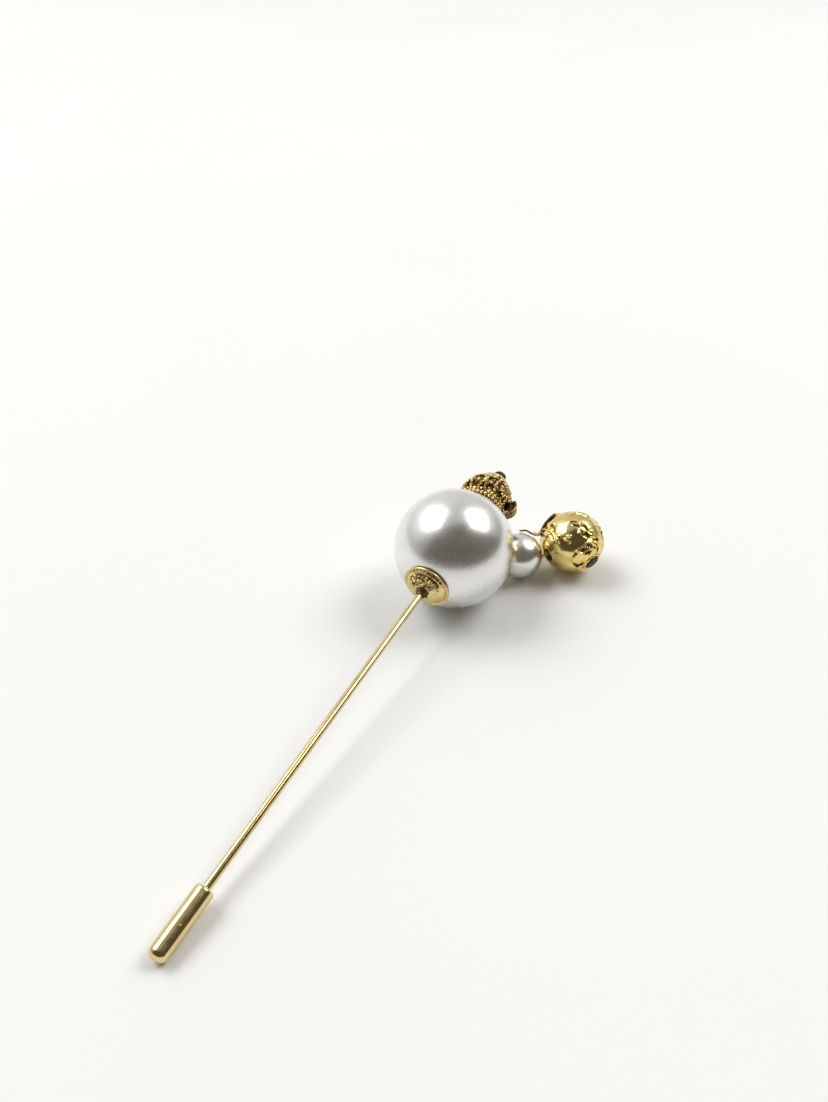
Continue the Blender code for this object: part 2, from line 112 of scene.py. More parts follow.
PIN = place(PEARL_CENTRE, AXIS)
FINIAL = place(PEARL_CENTRE, (AXIS + FINIAL_LEAN).normalized())
PEG = place(PEARL_CENTRE, PEG_AXIS)
SMALL = place(SMALL_CENTRE, PEG_AXIS)
BEAD = Matrix.Translation(BEAD_CENTRE) @ Matrix.Scale(MM, 4)
SETTING = place(BEAD_CENTRE, SETTING_AXIS)


def azimuth_about(matrix, direction):
    """Angle of a world direction about a local frame's own axis."""
    local = matrix.to_3x3().inverted() @ direction
    return np.arctan2(local.y, local.x)


# --- node materials ---
class Nodes:
    """Short ways of adding nodes to one material."""

    def __init__(self, name):
        self.material = bpy.data.materials.new(name)
        self.material.use_nodes = True
        self.tree = self.material.node_tree
        self.shader = self.tree.nodes["Principled BSDF"]
        self.place = self.add("ShaderNodeTexCoord").outputs["Object"]

    def add(self, kind, **values):
        node = self.tree.nodes.new(kind)
        for key, value in values.items():
            setattr(node, key, value)
        return node

    def link(self, source, target):
        self.tree.links.new(source, target)

    def noise(self, scale, detail=4.0, roughness=0.55, distortion=0.0, stretch=None):
        node = self.add("ShaderNodeTexNoise")
        node.inputs["Scale"].default_value = scale
        node.inputs["Detail"].default_value = detail
        node.inputs["Roughness"].default_value = roughness
        node.inputs["Distortion"].default_value = distortion
        if stretch is None:
            self.link(self.place, node.inputs["Vector"])
        else:
            mapping = self.add("ShaderNodeMapping")
            mapping.inputs["Rotation"].default_value = stretch[0]
            mapping.inputs["Scale"].default_value = stretch[1]
            self.link(self.place, mapping.inputs["Vector"])
            self.link(mapping.outputs["Vector"], node.inputs["Vector"])
        return node.outputs["Fac"]

    def tone(self):
        node = self.add("ShaderNodeAttribute", attribute_name="tone")
        return node.outputs["Fac"]

    def ramp(self, source, stops):
        node = self.add("ShaderNodeValToRGB")
        while len(node.color_ramp.elements) < len(stops):
            node.color_ramp.elements.new(0.5)
        for element, (position, colour) in zip(node.color_ramp.elements, stops):
            element.position = position
            element.color = (*colour, 1.0)
        self.link(source, node.inputs["Fac"])
        return node.outputs["Color"]

    def span(self, source, low, high, to_low, to_high):
        node = self.add("ShaderNodeMapRange")
        for slot_name, value in zip(("From Min", "From Max", "To Min", "To Max"), (low, high, to_low, to_high)):
            node.inputs[slot_name].default_value = value
        self.link(source, node.inputs["Value"])
        return node.outputs["Result"]

    def mix(self, share, first, second, mode="MIX"):
        node = self.add("ShaderNodeMix", data_type="RGBA", blend_type=mode)
        if isinstance(share, float):
            node.inputs["Factor"].default_value = share
        else:
            self.link(share, node.inputs["Factor"])
        for value, socket in ((first, node.inputs[6]), (second, node.inputs[7])):
            if isinstance(value, tuple):
                socket.default_value = (*value, 1.0)
            else:
                self.link(value, socket)
        return node.outputs[2]

    def maths(self, operation, first, second):
        node = self.add("ShaderNodeMath", operation=operation)
        for value, socket in ((first, node.inputs[0]), (second, node.inputs[1])):
            if isinstance(value, float):
                socket.default_value = value
            else:
                self.link(value, socket)
        return node.outputs["Value"]

    def bump(self, source, depth, strength=1.0, below=None):
        node = self.add("ShaderNodeBump")
        node.inputs["Distance"].default_value = depth
        node.inputs["Strength"].default_value = strength
        self.link(source, node.inputs["Height"])
        if below is not None:
            self.link(below, node.inputs["Normal"])
        return node.outputs["Normal"]


def polished_gold(name, light, deep, roughness, brown=(0.16, 0.08, 0.02), shade_and_grime=0.0, lumps=0.0, pit=None):
    """Bright plated gold: a little colour drift, fine wipe marks, brown where tone is low, which is painted shade in
    hollows, grooves and holes, plus a few stains.

    pit is the place of one small ding in the plating.
    """
    n = Nodes(name)
    drift = n.noise(420.0, 3.0)
    colour = n.ramp(drift, ((0.35, deep), (0.62, light)))
    if shade_and_grime > 0.0:
        # Brown where tone is low: painted shade in hollows, grooves and holes, plus a few stains.
        low = n.span(n.tone(), 0.0, 0.55, shade_and_grime, 0.0)
        colour = n.mix(low, colour, brown)
    n.link(colour, n.shader.inputs["Base Color"])
    n.shader.inputs["Metallic"].default_value = 1.0
    smears = n.noise(900.0, 5.0, 0.65)
    n.link(n.span(smears, 0.3, 0.75, roughness * 0.75, roughness * 1.5), n.shader.inputs["Roughness"])
    marks = n.noise(2600.0, 6.0, 0.7, stretch=((0.2, 0.5, 0.9), (0.25, 2.2, 2.2)))
    normal = n.bump(marks, 0.000004, 0.5)
    if lumps > 0.0:
        normal = n.bump(n.noise(700.0, 2.0), 0.00003 * lumps, 0.6, normal)
    if pit is not None:
        away = n.add("ShaderNodeVectorMath", operation="DISTANCE")
        away.inputs[1].default_value = pit
        n.link(n.place, away.inputs[0])
        bowl = n.span(away.outputs["Value"], 0.00003, 0.00013, 0.0, 1.0)
        normal = n.bump(bowl, 0.00006, 1.0, normal)
    n.link(normal, n.shader.inputs["Normal"])
    return n.material


def antique_gold(name, light, brown, roughness):
    """Worn gold: bright on the high points, brown in the grooves as patina and painted shade, and brown in patches."""
    n = Nodes(name)
    patches = n.noise(1100.0, 5.0, 0.6)
    height = n.maths("ADD", n.maths("MULTIPLY", n.tone(), 0.75), n.maths("MULTIPLY", patches, 0.5))
    deep = tuple(0.45 * a + 0.25 * b for a, b in zip(light, brown))
    colour = n.ramp(height, ((0.40, brown), (0.64, deep), (0.94, light)))
    n.link(colour, n.shader.inputs["Base Color"])
    n.shader.inputs["Metallic"].default_value = 1.0
    n.link(n.span(height, 0.3, 0.9, roughness * 2.0, roughness), n.shader.inputs["Roughness"])
    n.link(n.bump(n.noise(3200.0, 5.0, 0.7), 0.00001, 0.7), n.shader.inputs["Normal"])
    return n.material


def pearl_coat(name):
    """Pearl lacquer: a satin mirror with a faint warm drift and a very shallow ripple."""
    n = Nodes(name)
    drift = n.noise(95.0, 4.0, 0.5)
    colour = n.ramp(drift, ((0.35, (0.80, 0.79, 0.76)), (0.65, (0.88, 0.88, 0.87))))
    n.link(colour, n.shader.inputs["Base Color"])
    n.shader.inputs["Metallic"].default_value = 0.90
    n.link(n.span(n.noise(240.0, 5.0), 0.3, 0.7, 0.24, 0.30), n.shader.inputs["Roughness"])
    n.shader.inputs["Coat Weight"].default_value = 0.15
    n.shader.inputs["Coat Roughness"].default_value = 0.16
    n.link(n.bump(n.noise(130.0, 2.0), 0.00003, 0.30), n.shader.inputs["Normal"])
    return n.material


def dark_stone(name):
    """Near-black stone with a brown cloud and a dull, worn polish."""
    n = Nodes(name)
    cloud = n.noise(800.0, 4.0)
    colour = n.ramp(cloud, ((0.35, (0.010, 0.009, 0.007)), (0.7, (0.055, 0.042, 0.026))))
    n.link(colour, n.shader.inputs["Base Color"])
    n.link(n.span(cloud, 0.3, 0.7, 0.32, 0.5), n.shader.inputs["Roughness"])
    n.shader.inputs["Specular IOR Level"].default_value = 0.22
    n.link(n.bump(n.noise(2400.0, 4.0), 0.000012, 0.6), n.shader.inputs["Normal"])
    return n.material


def flux_residue(name):
    n = Nodes(name)
    crust = n.noise(1800.0, 6.0, 0.7)
    colour = n.ramp(crust, ((0.35, (0.030, 0.014, 0.004)), (0.55, (0.13, 0.065, 0.018)), (0.72, (0.45, 0.29, 0.09))))
    n.link(colour, n.shader.inputs["Base Color"])
    n.shader.inputs["Metallic"].default_value = 0.55
    n.link(n.span(crust, 0.3, 0.7, 0.65, 0.25), n.shader.inputs["Roughness"])
    n.link(n.bump(crust, 0.00006, 0.8), n.shader.inputs["Normal"])
    return n.material


def nylon(name):
    n = Nodes(name)
    n.link(n.ramp(n.noise(700.0), ((0.3, (0.68, 0.66, 0.60)), (0.7, (0.80, 0.79, 0.74)))), n.shader.inputs["Base Color"])
    n.link(n.span(n.noise(1500.0), 0.3, 0.7, 0.4, 0.6), n.shader.inputs["Roughness"])
    n.link(n.bump(n.noise(2600.0), 0.00001, 0.5), n.shader.inputs["Normal"])
    return n.material


def table_top(name):
    n = Nodes(name)
    wide = n.noise(9.0, 3.0)
    n.link(n.ramp(wide, ((0.3, (0.89, 0.892, 0.885)), (0.7, (0.91, 0.91, 0.905)))), n.shader.inputs["Base Color"])
    n.shader.inputs["Roughness"].default_value = 0.62
    n.shader.inputs["Specular IOR Level"].default_value = 0.25
    n.link(n.bump(n.noise(900.0, 4.0), 0.00002, 0.25), n.shader.inputs["Normal"])
    return n.material


LIGHT_GOLD = (0.78, 0.62, 0.31)
DEEP_GOLD = (0.68, 0.51, 0.22)
gold_wire = polished_gold("gold_wire", LIGHT_GOLD, DEEP_GOLD, 0.12)
gold_cup = polished_gold("gold_cup", (0.80, 0.65, 0.31), (0.68, 0.52, 0.21), 0.27, shade_and_grime=0.95, lumps=0.6)
gold_nugget = polished_gold("gold_nugget", (0.90, 0.72, 0.30), (0.76, 0.57, 0.18), 0.12, shade_and_grime=0.85, lumps=0.6)
gold_bezel = polished_gold("gold_bezel", (0.92, 0.77, 0.44), (0.80, 0.62, 0.30), 0.24, shade_and_grime=0.7)
gold_dish = polished_gold("gold_dish", (0.95, 0.74, 0.34), (0.84, 0.60, 0.22), 0.15)
gold_patina_and_shade = antique_gold("antique_gold", (0.88, 0.65, 0.27), (0.07, 0.035, 0.010), 0.17)
# Dark brown ground: painted shade in the recesses under the wirework.
ground_painted_shade = antique_gold("finial_ground_painted_shade", (0.55, 0.37, 0.14), (0.10, 0.05, 0.015), 0.35)
pearl = pearl_coat("pearl_coat")
stone = dark_stone("dark_stone")
flux = flux_residue("flux_brown")
sleeve = nylon("nylon")


# --- mesh helpers: everything local is in millimetres ---
def finish_mesh(name, points, faces, matrix, material, tone=None, smooth_angle=60.0):
    mesh = bpy.data.meshes.new(name)
    mesh.from_pydata([matrix @ Vector(p) for p in points], [], faces)
    if tone is not None:
        layer = mesh.attributes.new("tone", "FLOAT", "POINT")
        layer.data.foreach_set("value", np.clip(np.asarray(tone, np.float32).ravel(), 0.0, 1.0))
    bm = bmesh.new()
    bm.from_mesh(mesh)
    bmesh.ops.remove_doubles(bm, verts=bm.verts, dist=1e-8)
    bmesh.ops.recalc_face_normals(bm, faces=bm.faces)
    bm.to_mesh(mesh)
    bm.free()
    mesh.shade_smooth()
    mesh.set_sharp_from_angle(angle=radians(smooth_angle))
    mesh.materials.append(material)
    item = bpy.data.objects.new(name, mesh)
    bpy.context.collection.objects.link(item)
    return item


def join_grids(grids):
    """Points, faces and tones of several (rows, columns, 3) grids put together.

    Each entry is (grid, tone, rows_closed, columns_closed, caps).
    """
    points, tones, faces = [], [], []
    for grid, tone, rows_closed, columns_closed, caps in grids:
        rows, columns = grid.shape[:2]
        base = len(points)
        points.extend(grid.reshape(-1, 3).tolist())
        tones.extend(np.broadcast_to(tone, (rows, columns)).ravel().tolist())
        for i in range(rows if rows_closed else rows - 1):
            k = (i + 1) % rows
            for j in range(columns if columns_closed else columns - 1):
                m = (j + 1) % columns
                faces.append((base + i * columns + j, base + i * columns + m,
                              base + k * columns + m, base + k * columns + j))
        if caps:
            faces.append(tuple(base + j for j in range(columns)))
            faces.append(tuple(base + (rows - 1) * columns + j for j in range(columns)))
    return points, faces, tones


def lathe_grid(profile, steps):
    profile = np.asarray(profile, float)
    angles = np.arange(steps) * TURN / steps
    r = profile[:, 0:1]
    z = profile[:, 1:2] + 0 * angles
    return np.stack([r * np.cos(angles), r * np.sin(angles), z], axis=2)


def turned(name, profile, matrix, material, steps=72, ring=False, tone=1.0, smooth_angle=60.0):
    grid = lathe_grid(profile, steps)
    points, faces, tones = join_grids([(grid, tone, ring, True, False)])
    return finish_mesh(name, points, faces, matrix, material, tones, smooth_angle)


def arc(centre_r, centre_z, radius, start, end, steps):
    """Points (r, z) on an arc; angles in degrees from +Z towards +r."""
    angles = np.radians(np.linspace(start, end, steps + 1))
    return [(centre_r + radius * sin(a), centre_z + radius * cos(a)) for a in angles]


def smooth_path(stations, count):
    """Catmull-Rom points through the stations."""
    stations = [np.asarray(s, float) for s in stations]
    spans = len(stations) - 1
    out = []
    for i in range(count):
        t = spans * i / (count - 1)
        k = min(int(t), spans - 1)
        f = t - k
        p1, p2 = stations[k], stations[k + 1]
        p0 = stations[k - 1] if k > 0 else p1 * 2 - p2
        p3 = stations[k + 2] if k + 2 <= spans else p2 * 2 - p1
        out.append((p1 * 2 + (p2 - p0) * f + (p0 * 2 - p1 * 5 + p2 * 4 - p3) * f * f
                    + (p1 * 3 - p0 - p2 * 3 + p3) * f ** 3) * 0.5)
    return np.array(out)


def rope_grid(path, radius, pitch, strands=2, closed=False, depth=0.26, sides=10, taper=True):
    """A twisted-wire tube along a path of points; tone is low in the grooves, for patina and painted shade there."""
    path = np.asarray(path, float)
    count = len(path)
    if closed:
        ahead = np.roll(path, -1, 0) - np.roll(path, 1, 0)
    else:
        ahead = np.gradient(path, axis=0)
    ahead /= np.linalg.norm(ahead, axis=1)[:, None]
    steps = np.linalg.norm(np.diff(path, axis=0), axis=1)
    along = np.concatenate([[0.0], np.cumsum(steps)])
    if closed:
        total = along[-1] + np.linalg.norm(path[0] - path[-1])
        pitch = total / max(1, round(total / pitch))
    normal = np.cross(ahead[0], (0.3, 0.9, 0.2))
    normals = []
    for t in ahead:
        normal = normal - t * (normal @ t)
        normal /= np.linalg.norm(normal)
        normals.append(normal)
    normals = np.array(normals)
    sideways = np.cross(ahead, normals)
    angles = np.arange(sides) * TURN / sides
    phase = strands * (angles[None, :] - TURN * along[:, None] / pitch / strands * 2)
    wave = np.cos(phase)
    size = radius * (1.0 + depth * (wave - 0.4))
    if taper and not closed:
        ends = np.minimum(np.arange(count), np.arange(count)[::-1]) / max(3.0, count * 0.06)
        size = size * np.clip(0.35 + ends, 0.0, 1.0)[:, None]
    grid = (path[:, None, :]
            + size[:, :, None] * (np.cos(angles)[None, :, None] * normals[:, None, :]
                                  + np.sin(angles)[None, :, None] * sideways[:, None, :]))
    tone = 0.5 + 0.5 * wave
    return grid, tone, closed, True, not closed


def grain_grid(centre, radius, tone=0.9, steps=8):
    """A small ball, as a grid with its poles as rings of coincident points."""
    polar = np.linspace(0.0, pi, steps)
    around = np.arange(steps + 2) * TURN / (steps + 2)
    x = np.sin(polar)[:, None] * np.cos(around)
    y = np.sin(polar)[:, None] * np.sin(around)
    z = np.cos(polar)[:, None] + 0 * around
    grid = np.asarray(centre, float) + radius * np.stack([x, y, z], axis=2)
    return grid, tone, False, True, False


def keep(item, slot_name, body, *nodes):
    """Ride on a body and stand for the CAD nodes named; slot_name is not used."""
    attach(item, body)
    if nodes:
        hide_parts(*nodes)
    return item


def carried(node, material):
    """A CAD node that stays in view with a better material."""
    item = frame["nodes"][node]
    item.data.materials.clear()
    item.data.materials.append(material)


def lump(x, y, z, scale, seed=0.0):
    return noise.noise(Vector((x * scale + seed, y * scale - seed, z * scale + 2 * seed)))


# --- pearls ---
def drilled_ball(name, radius, bore, matrix, body, node):
    lip = np.degrees(asin(bore / radius))
    profile = [(bore, 0.86 * radius)]
    profile += arc(0.0, 0.0, radius, lip + 0.5, 179.5 - lip, 72)
    profile += [(bore, -0.86 * radius)]
    item = turned(name, profile, matrix, pearl, 112, ring=True)
    return keep(item, "pearl_coat", body, node)


drilled_ball("pearl_large", PEARL_R, PEARL_BORE_R, PIN, "pin", "large_pearl")
drilled_ball("pearl_small", SMALL_R, SMALL_PEARL_BORE_R, SMALL, "small_pearl", "small_pearl")


# --- stem ---
def make_stem():
    heights = np.linspace(STEM_TOP - 0.1, -(STEM_TIP - STEM_POINT_LENGTH), 260)
    profile = [(0.0, STEM_TOP), (STEM_R - 0.1, STEM_TOP)]
    for i, z in enumerate(heights):
        draw = 0.0035 * noise.noise(Vector((z * 0.9, 3.1, 0.0))) + 0.002 * noise.noise(Vector((z * 6.0, 0.0, 1.7)))
        profile.append((STEM_R - 0.004 + draw, z))
    profile += [(STEM_R * 0.62, -(STEM_TIP - 1.1)), (STEM_POINT_R, -STEM_TIP + 0.05), (0.0, -STEM_TIP)]
    item = turned("stem_wire", profile, PIN, gold_wire, 40)
    keep(item, "polished_gold", "pin", "pin_stem")


make_stem()


# --- clutch ---
def make_clutch():
    height = -(CLUTCH_MOUTH + 5.3)
    to_viewer = CAMERA_PLACE - PIN @ Vector((0, 0, height))
    side = azimuth_about(PIN, to_viewer)
    pit = PIN @ Vector((CLUTCH_R * cos(side), CLUTCH_R * sin(side), height))
    gold_clutch = polished_gold("gold_clutch", (0.80, 0.65, 0.34), (0.72, 0.56, 0.26), 0.15, pit=pit)
    mouth, end = -CLUTCH_MOUTH, -CLUTCH_END
    floor = end + 0.5
    shoulder = 0.46
    profile = [(0.0, floor), (CLUTCH_BORE_R, floor + 0.3), (CLUTCH_BORE_R, mouth - 0.42),
               (CLUTCH_LIP_R, mouth - 0.36), (CLUTCH_LIP_R, mouth - 0.05), (CLUTCH_LIP_R + 0.02, mouth)]
    profile += arc(CLUTCH_R - shoulder, mouth - shoulder, shoulder, 2, 90, 14)
    for z in np.linspace(mouth - 0.7, end + 1.05, 60):
        draw = 0.0025 * noise.noise(Vector((z * 1.6, 7.0, 0.4)))
        profile.append((CLUTCH_R - 0.002 + draw, z))
    for i in range(1, 22):
        angle = radians(90.0 * i / 21)
        profile.append((CLUTCH_R * cos(angle) ** 0.82, end + 0.88 * (1.0 - sin(angle) ** 1.25)))
    profile[-1] = (0.0, end)
    item = turned("clutch_tube", profile, PIN, gold_clutch, 72, smooth_angle=40.0)
    keep(item, "polished_gold", "clutch_shell", "clutch_shell")
    carried("clutch_mouth_bush", gold_clutch)
    carried("clutch_grip_sleeve", sleeve)


make_clutch()


# --- cup under the large pearl ---
UP_AZIMUTH = azimuth_about(PIN, Vector((0, 0, 1)))


def window(value, low, high, soft):
    """1 between low and high, falling to 0 over a distance soft outside them."""
    return max(0.0, min(1.0, (value - low) / soft + 1.0, (high - value) / soft + 1.0))


def make_cup():
    """Pressed cup: rim flange, ring of stamped dashes, and a granular crescent on its dome."""
    columns = 300
    groove = 3.50
    radii = np.concatenate([np.linspace(STEM_R + GAP + 0.02, 3.32, 84), np.linspace(3.36, 3.66, 12),
                            np.linspace(3.70, CUP_R - 0.02, 7)])
    angles = np.arange(columns) * TURN / columns
    grid = np.zeros((len(radii), columns, 3))
    tone = np.ones((len(radii), columns))
    crown, rim = CUP_CROWN, CUP_RIM
    for i, r in enumerate(radii):
        if r < groove:
            height = rim + 0.02 + (crown - rim - 0.02) * (1.0 - (r / groove) ** 2) ** 0.85
        else:
            height = rim + 0.03
        height -= 0.07 * np.exp(-((r - groove) / 0.09) ** 2)
        if r > CUP_R - 0.22:
            height += 0.07 * sin(min(1.0, (r - CUP_R + 0.22) / 0.2) * pi)
        for j, a in enumerate(angles):
            x, y = r * cos(a), r * sin(a)
            spin = np.degrees((a - UP_AZIMUTH + pi) % TURN - pi)
            # Painted shade: darker between the crescent's grains, on the upper side only.
            crescent = window(spin, -62, 54, 16) * window(r, 1.55, 2.85, 0.35)
            grain = lump(x, y, 0.0, 2.3, 2.0) + 0.5 * lump(x, y, 0.0, 5.0, 5.0)
            depth = crescent * (0.05 + 0.34 * grain)
            shade = 1.0 - crescent * min(1.0, max(0.0, 0.42 - 2.2 * grain))
            # Painted shade: a dark groove along an arc on the upper side.
            arc_line = np.exp(-((r - 3.02) / 0.17) ** 2) * window(spin, -18, 50, 14)
            depth -= 0.14 * arc_line
            shade -= 0.95 * arc_line
            # The dashes are dark mostly on the upper side: painted shade in the stamped grooves.
            dash = cos(a * 28 + 0.8 * sin(5 * a)) > -0.1
            stamped = np.exp(-((r - groove + 0.03) / 0.13) ** 4) * dash
            shade -= stamped * (0.12 + 0.88 * window(spin, -48, 50, 26))
            depth -= 0.05 * stamped
            pit = np.hypot((r - 2.62) / 0.16, np.radians(spin - 72) * r / 0.26)
            shade -= 0.9 * np.exp(-pit ** 4)
            depth -= 0.07 * np.exp(-pit ** 4)
            spots = lump(x, y, 1.0, 4.2, 11.0)
            shade -= 3.0 * max(0.0, spots - 0.46) + 0.12 * window(lump(x, y, 3.0, 1.4, 6.0), 0.1, 1.0, 0.1)
            crack = abs(lump(x, y, 2.0, 1.1, 4.0))
            if crack < 0.020 and r < 2.9:
                depth -= 0.02
                shade -= 0.50
            shade -= 0.6 * np.exp(-((r - 0.75) / 0.32) ** 2)
            grid[i, j] = (x, y, -(height + depth))
            tone[i, j] = shade
    under = []
    for r, z in ((CUP_R, rim - 0.06), (CUP_R, rim - 0.20), (CUP_R - 0.06, rim - 0.26), (3.4, rim - 0.15),
                 (2.4, rim + 0.45), (1.4, rim + 0.88), (STEM_R + GAP + 0.02, crown - 0.36)):
        under.append((r, -z))
    lower = lathe_grid(under, columns)
    whole = np.concatenate([grid, lower], axis=0)
    tones = np.concatenate([tone, np.full((len(under), columns), 0.8)], axis=0)
    points, faces, shades = join_grids([(whole, tones, True, True, False)])
    item = finish_mesh("cup_pressed", points, faces, PIN, gold_cup, shades, 45.0)
    keep(item, "polished_gold", "pin", "base_cup")


make_cup()


def make_solder():
    """Uneven fillet of solder and burnt flux where the stem leaves the cup."""
    columns = 48
    outline = [(STEM_R + 0.03, 0.02), (0.9, -0.02), (1.16, 0.03), (1.06, 0.16), (0.92, 0.34), (0.80, 0.55),
               (0.72, 0.74), (0.67, 0.90), (STEM_R + 0.03, 0.98)]
    path = smooth_path([(r, z) for r, z in outline], 34)
    grid = lathe_grid([(r, -(CUP_CROWN - 0.06 + z)) for r, z in path], columns)
    for i in range(len(path)):
        for j in range(columns):
            x, y, z = grid[i, j]
            r = sqrt(x * x + y * y)
            swell = 1.0 + max(0.0, r - STEM_R - 0.04) * 0.55 * lump(x, y, z, 1.6, 9.0)
            grid[i, j] = (x * swell, y * swell, z)
    points, faces, shades = join_grids([(grid, 0.5, True, True, False)])
    item = finish_mesh("solder_fillet", points, faces, PIN, flux, shades)
    keep(item, "flux_brown", "pin", "solder_collar")


make_solder()


# --- finial ---
def finial_point(along, radius, crown_r):
    """(r, z, normal_r, normal_z) on the teardrop at a distance along it from its crown."""
    length = (radius * cos(FINIAL_CONE) - crown_r) / sin(FINIAL_CONE)
    if along < length:
        up = length - along
        r = radius * cos(FINIAL_CONE) - up * sin(FINIAL_CONE)
        z = FINIAL_CENTRE + radius * sin(FINIAL_CONE) + up * cos(FINIAL_CONE)
        return r, z, cos(FINIAL_CONE), sin(FINIAL_CONE)
    angle = pi / 2 - FINIAL_CONE + (along - length) / radius
    return radius * sin(angle), FINIAL_CENTRE + radius * cos(angle), sin(angle), cos(angle)


def on_finial(along, azimuth, lift):
    r, z, nr, nz = finial_point(along, FINIAL_R, CROWN_R)
    r += lift * nr
    return (r * cos(azimuth), r * sin(azimuth), z + lift * nz)


FINIAL_LENGTH = (FINIAL_R * cos(FINIAL_CONE) - CROWN_R) / sin(FINIAL_CONE) + FINIAL_R * (radians(112) - pi / 2 + FINIAL_CONE)
PETALS = 6


def make_leaf(index):
    """A cast leaf: twisted rim, midrib, side curls and grains, laid on the teardrop."""
    centre = TURN * index / PETALS
    half = pi / PETALS * 0.95
    top, foot = 0.95, FINIAL_LENGTH

    def rim_width(u):
        return half * (0.42 + 0.58 * sin(pi * (0.07 + 0.80 * u)) ** 0.8)

    grids = []
    rim = []
    count = 40
    for i in range(count):
        u = i / (count - 1)
        rim.append(on_finial(top + (foot - top) * u, centre + rim_width(u), 0.20))
    for i in range(1, 9):
        v = i / 9
        rim.append(on_finial(foot + 0.12 * sin(pi * v), centre + rim_width(1.0) * (1 - 2 * v), 0.20))
    for i in range(count):
        u = 1 - i / (count - 1)
        rim.append(on_finial(top + (foot - top) * u, centre - rim_width(u), 0.20))
    for i in range(1, 6):
        v = i / 6
        rim.append(on_finial(top - 0.10 * sin(pi * v), centre - rim_width(0.0) * (1 - 2 * v), 0.20))
    grids.append(rope_grid(rim, 0.27, 0.95, closed=True, depth=0.42, sides=12))
    rib = [on_finial(top + (foot - top) * (0.04 + 0.92 * i / 39), centre + 0.06 * sin(7 * i / 39), 0.26)
           for i in range(40)]
    grids.append(rope_grid(rib, 0.24, 0.85, depth=0.45, sides=12))
    for level, reach in ((0.20, 0.52), (0.46, 0.56), (0.74, 0.56)):
        for side in (-1, 1):
            curl = []
            for i in range(22):
                t = i / 21
                angle = 4.0 * t
                size = 0.66 * (1 - 0.55 * t)
                along = top + (foot - top) * level + size * cos(angle + 0.6)
                r = finial_point(along, FINIAL_R, CROWN_R)[0]
                across = side * (reach * rim_width(level) + size * sin(angle + 0.6) * 0.75 / max(r, 1.0))
                curl.append(on_finial(along, centre + across, 0.20 + 0.22 * t))
            grids.append(rope_grid(curl, 0.21, 0.75, depth=0.45, sides=10))
            middle_point = on_finial(top + (foot - top) * level, centre + side * reach * rim_width(level), 0.36)
            grids.append(grain_grid(middle_point, 0.27, 1.0))
    for k in range(34):
        spread = noise.cell(Vector((k * 3.7, index * 5.1, 0.5)))
        second = noise.cell(Vector((k * 1.9, index * 2.3, 8.5)))
        u = 0.03 + 0.94 * (k + 0.5 * spread) / 34.5
        across = (2 * second - 1) * 0.85 * rim_width(u)
        size = 0.19 + 0.10 * spread
        grids.append(grain_grid(on_finial(top + (foot - top) * u, centre + across, 0.20), size, 0.75 + 0.25 * second))
    points, faces, tones = join_grids(grids)
    item = finish_mesh(f"finial_leaf_{index + 1}", points, faces, FINIAL, gold_patina_and_shade, tones)
    keep(item, "antique_gold", "pin", f"finial_petal_{index + 1}")


for petal in range(PETALS):
    make_leaf(petal)


def make_finial_rest():
    ring = [(3.50 * cos(TURN * i / 220), 3.50 * sin(TURN * i / 220), 10.05) for i in range(220)]
    grids = [rope_grid(ring, 0.36, 0.95, closed=True, sides=14)]
    for row, (radius, height, size, number) in enumerate(((3.86, 10.72, 0.36, 34), (4.06, 11.30, 0.30, 38))):
        for i in range(number):
            a = TURN * (i + 0.5 * row) / number
            wobble = 0.10 * noise.noise(Vector((i * 1.7, row * 4.1, 0.3)))
            grain = grain_grid((radius * cos(a), radius * sin(a), height + wobble), size * (1 + wobble), 0.95)
            grids.append(grain)
    points, faces, tones = join_grids(grids)
    item = finish_mesh("finial_rope_ring", points, faces, FINIAL, gold_patina_and_shade, tones)
    keep(item, "antique_gold", "pin", "finial_rope")
    crown_z = finial_point(0.0, FINIAL_R, CROWN_R)[1]
    base = crown_z + 0.04
    profile = [(0.75, base), (1.30, base)]
    for along in np.linspace(0.05, 1.05, 6):
        r, z, nr, nz = finial_point(along, FINIAL_R, CROWN_R)
        profile.append((r + 0.05 * nr, z + 0.05 * nz))
    for along in np.linspace(1.12, 0.25, 12):
        r, z, nr, nz = finial_point(along, FINIAL_R, CROWN_R)
        lift = 0.30 + 0.10 * sin(pi * (1.12 - along) / 0.87)
        profile.append((r + lift * nr, z + lift * nz))
    profile += [(1.50, base + 0.24), (1.40, base + 0.44), (1.26, base + 0.56), (1.12, base + 0.58), (0.75, base + 0.58)]
    item = turned("finial_bezel", profile, FINIAL, gold_bezel, 64, ring=True, smooth_angle=35.0)
    keep(item, "polished_gold", "pin", "apex_bezel")
    seat = base + 0.60
    profile = [(0.0, seat), (0.84, seat), (1.10, seat + 0.15), (1.15, seat + 0.40), (1.13, seat + 0.82),
               (1.04, seat + 0.98), (0.88, seat + 1.03), (0.4, seat + 1.05), (0.0, seat + 1.06)]
    item = turned("finial_stone", profile, FINIAL, stone, 48, smooth_angle=30.0)
    keep(item, "dark_stone", "pin", "apex_stone")
    # The dome is dark brown: painted shade in the recesses under the wirework.
    carried("finial_dome", ground_painted_shade)
    carried("finial_foot_ring", gold_patina_and_shade)


make_finial_rest()


